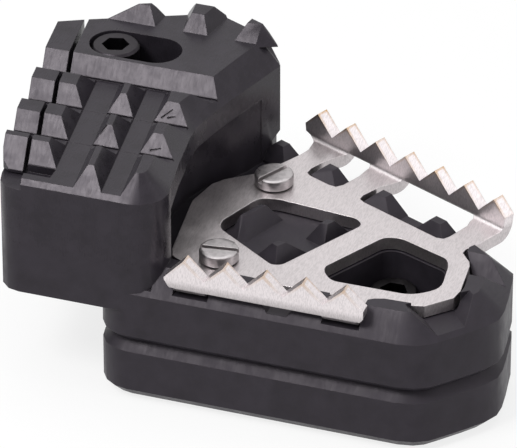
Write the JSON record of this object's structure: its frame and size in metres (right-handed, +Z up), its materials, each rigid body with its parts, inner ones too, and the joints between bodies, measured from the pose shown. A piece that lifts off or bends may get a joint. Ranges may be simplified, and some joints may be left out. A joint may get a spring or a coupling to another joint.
{
  "type": "brake pedal extension",
  "caption": "Stepped, toothed foot block joined to a low platform with a bent steel tooth plate and a lower clamp plate; widens a motorbike's rear brake pedal.",
  "frame": {"origin": "on the flat underside of the lower clamp plate, near its middle", "axes": "+X to the right along the straight front face, +Y back, +Z up; the part rests on the underside as modelled"},
  "size_m": [0.1086, 0.0702, 0.0538],
  "materials": {
    "black_anodised": "satin black anodised",
    "sheet_steel": "brushed stainless sheet",
    "bright_screw": "turned stainless steel",
    "black_screw": "black oxide steel"
  },
  "bodies": {
    "extension": {"pedal_body": "black_anodised", "side_tooth_block": "black_anodised", "lower_clamp_plate": "black_anodised", "tooth_plate": "sheet_steel", "plate_screw_front": "bright_screw", "plate_screw_back": "bright_screw", "clamp_screw_front_left": "black_screw", "clamp_screw_front_right": "black_screw", "clamp_screw_back_right": "black_screw", "clamp_screw_pocket": "black_screw", "dowel_left": "bright_screw", "dowel_right": "bright_screw", "side_pin_front": "bright_screw", "side_pin_back": "bright_screw"},
    "slot_screw": {"slot_cap_screw": "black_screw", "slot_nut": "bright_screw"}
  },
  "joints": [
    {"name": "slot_slide", "type": "slide", "parent": "extension", "child": "slot_screw", "axis": [1, 0, 0], "range_m": [0, 0.0088]}
  ]
}
